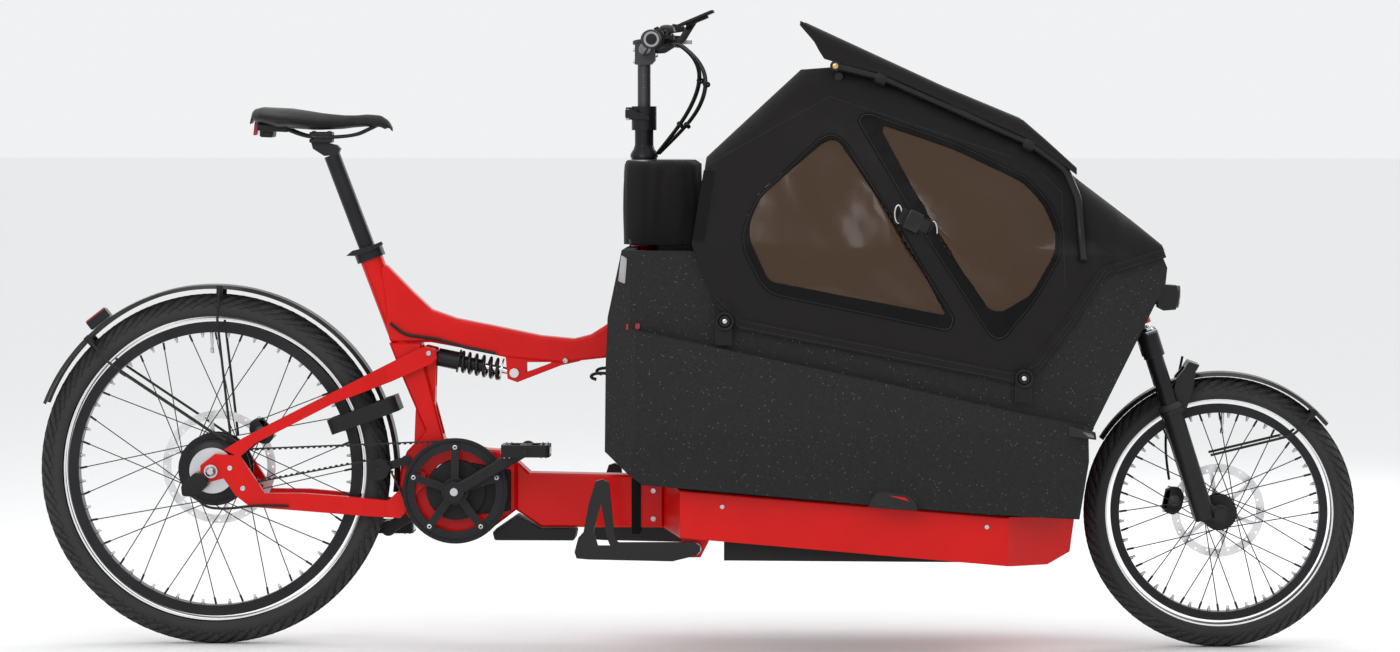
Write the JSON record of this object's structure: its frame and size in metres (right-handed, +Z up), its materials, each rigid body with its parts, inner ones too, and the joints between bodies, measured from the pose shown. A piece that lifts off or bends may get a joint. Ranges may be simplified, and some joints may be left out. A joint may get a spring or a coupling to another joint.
{
  "type": "cargo bicycle",
  "caption": "Long front-load electric cargo bicycle with foam box, child canopy, rear swingarm and shock, belt drive, height-adjustable steering column, parking stand and disc brakes.",
  "frame": {"origin": "on the ground, in the middle plane, halfway along the whole length", "axes": "+X forward, +Y to the rider's left, +Z up"},
  "size_m": [2.5359, 0.6898, 1.2239],
  "materials": {
    "frame_red": "gloss",
    "swing_red": "gloss",
    "black_metal": "satin",
    "anodised_black": "satin",
    "anodised_grey": "satin",
    "steel": "satin",
    "chrome": "polished",
    "tyre": "matte",
    "belt": "matte",
    "grip_rubber": "matte",
    "foam": "speckled",
    "plastic": "matte",
    "fender_plastic": "satin",
    "gloss_black": "gloss",
    "fabric": "woven",
    "cushion": "woven",
    "saddle_cover": "matte",
    "cable": "satin"
  },
  "bodies": {
    "frame": {"seat_tube_frame": "frame_red", "top_beam": "frame_red", "lower_beam": "frame_red", "steering_mast": "frame_red", "mast_bearings": "steel", "front_tray": "frame_red", "front_down_tube": "frame_red", "motor": "plastic", "battery_packs": "plastic", "pivot_bolts": "steel", "cargo_box": "foam", "canopy": "fabric", "canopy_bows": "anodised_grey", "seat_cushions": "cushion", "headlight": "gloss_black", "seat_clamp": "anodised_black", "idler_arm": "anodised_black", "drive_belt": "belt", "frame_cable": "cable"},
    "swingarm": {"swingarm": "swing_red", "rear_axle": "steel", "rear_fender": "fender_plastic", "ring_lock": "plastic", "rear_caliper": "anodised_black"},
    "rear_wheel": {"rear_tyre": "tyre", "rear_rim": "anodised_black", "rear_spokes": "black_metal", "rear_hub": "anodised_black", "rear_rotor": "steel"},
    "rear_sprocket": {"rear_sprocket": "steel"},
    "belt_idler": {"belt_idler": "plastic"},
    "crank": {"crankset": "anodised_black", "chainring": "anodised_black"},
    "right_pedal": {"right_pedal": "plastic"},
    "left_pedal": {"left_pedal": "plastic"},
    "shock_shaft": {"shock_shaft": "chrome", "shock_spring": "black_metal"},
    "shock_body": {"shock_body": "anodised_black"},
    "seat": {"seat_post": "anodised_black", "saddle": "saddle_cover"},
    "column": {"steering_column": "anodised_black"},
    "height_lever": {"height_lever": "anodised_black"},
    "riser": {"stem": "anodised_grey", "handlebar": "anodised_black", "grips": "grip_rubber", "brake_perches": "anodised_black", "display": "gloss_black", "bar_cables": "cable"},
    "right_brake": {"right_brake_lever": "anodised_black"},
    "left_brake": {"left_brake_lever": "anodised_black"},
    "fork": {"fork_upper": "anodised_black"},
    "fork_lowers": {"fork_lowers": "black_metal", "front_fender": "fender_plastic", "front_caliper": "anodised_black"},
    "front_wheel": {"front_tyre": "tyre", "front_rim": "anodised_black", "front_spokes": "black_metal", "front_hub": "anodised_black", "front_rotor": "steel"},
    "stand": {"parking_stand": "black_metal"}
  },
  "joints": [
    {"name": "swingarm_pivot", "type": "hinge", "parent": "frame", "child": "swingarm", "pos_m": [-0.53, 0, 0.322], "axis": [0, 1, 0], "range_deg": [0, 8], "stiffness_Nm_per_rad": 1600, "springref_deg": -11.46, "deforming": ["drive_belt"]},
    {"name": "rear_wheel_spin", "type": "hinge", "parent": "swingarm", "child": "rear_wheel", "pos_m": [-0.929, 0, 0.339], "axis": [0, 1, 0], "continuous": true},
    {"name": "sprocket_spin", "type": "hinge", "parent": "swingarm", "child": "rear_sprocket", "pos_m": [-0.929, 0, 0.339], "axis": [0, 1, 0], "continuous": true},
    {"name": "crank_spin", "type": "hinge", "parent": "frame", "child": "crank", "pos_m": [-0.46, 0, 0.301], "axis": [0, 1, 0], "continuous": true},
    {"name": "idler_spin", "type": "hinge", "parent": "frame", "child": "belt_idler", "pos_m": [-0.609, 0, 0.3415], "axis": [0, 1, 0], "continuous": true},
    {"name": "right_pedal_spin", "type": "hinge", "parent": "crank", "child": "right_pedal", "pos_m": [-0.31783, 0, 0.38474], "axis": [0, 1, 0], "continuous": true},
    {"name": "left_pedal_spin", "type": "hinge", "parent": "crank", "child": "left_pedal", "pos_m": [-0.60217, 0, 0.21726], "axis": [0, 1, 0], "continuous": true},
    {"name": "shock_swivel", "type": "hinge", "parent": "frame", "child": "shock_shaft", "pos_m": [-0.349, 0, 0.526], "axis": [0, 1, 0], "range_deg": [-0.5, 2]},
    {"name": "shock_slide", "type": "slide", "parent": "shock_shaft", "child": "shock_body", "axis": [0.9801, 0, -0.1984], "range_m": [0, 0.036], "deforming": ["shock_spring"]},
    {"name": "seat_post_slide", "type": "slide", "parent": "frame", "child": "seat", "axis": [-0.3551, 0, 0.9348], "range_m": [-0.05, 0.06]},
    {"name": "column_turn", "type": "hinge", "parent": "frame", "child": "column", "pos_m": [-0.099, 0, 0.93], "axis": [0, 0, 1], "range_deg": [-45, 45]},
    {"name": "height_lever_turn", "type": "hinge", "parent": "column", "child": "height_lever", "pos_m": [-0.128, 0, 1.026], "axis": [0, 1, 0], "range_deg": [-150, 0]},
    {"name": "riser_slide", "type": "slide", "parent": "column", "child": "riser", "axis": [0, 0, 1], "range_m": [-0.07, 0.06], "deforming": ["bar_cables"]},
    {"name": "right_brake_pull", "type": "hinge", "parent": "riser", "child": "right_brake", "pos_m": [-0.042, -0.178, 1.164], "axis": [0, 0, 1], "range_deg": [-13, 0], "stiffness_Nm_per_rad": 0.5, "springref_deg": 2.86},
    {"name": "left_brake_pull", "type": "hinge", "parent": "riser", "child": "left_brake", "pos_m": [-0.042, 0.178, 1.164], "axis": [0, 0, 1], "range_deg": [0, 13], "stiffness_Nm_per_rad": 0.5, "springref_deg": -2.86},
    {"name": "fork_turn", "type": "hinge", "parent": "frame", "child": "fork", "pos_m": [0.85656, 0, 0.60139], "axis": [-0.3007, 0, 0.9537], "range_deg": [-45, 45]},
    {"name": "fork_slide", "type": "slide", "parent": "fork", "child": "fork_lowers", "axis": [-0.3007, 0, 0.9537], "range_m": [0, 0.05], "stiffness_N_per_m": 20000, "springref_m": -0.05},
    {"name": "front_wheel_spin", "type": "hinge", "parent": "fork_lowers", "child": "front_wheel", "pos_m": [1.008, 0, 0.26], "axis": [0, 1, 0], "continuous": true},
    {"name": "stand_swing", "type": "hinge", "parent": "frame", "child": "stand", "pos_m": [0.008, 0, 0.205], "axis": [0, 1, 0], "range_deg": [-106.5, 0]}
  ],
  "couplings": [
    {"joint": "sprocket_spin", "follows": "crank_spin", "ratio": 2.5},
    {"joint": "idler_spin", "follows": "crank_spin", "ratio": -4.7316},
    {"joint": "shock_swivel", "follows": "swingarm_pivot", "ratio": 0.09647},
    {"joint": "shock_slide", "follows": "swingarm_pivot", "m_per_rad": 0.23706},
    {"joint": "fork_turn", "follows": "column_turn", "ratio": 1}
  ]
}
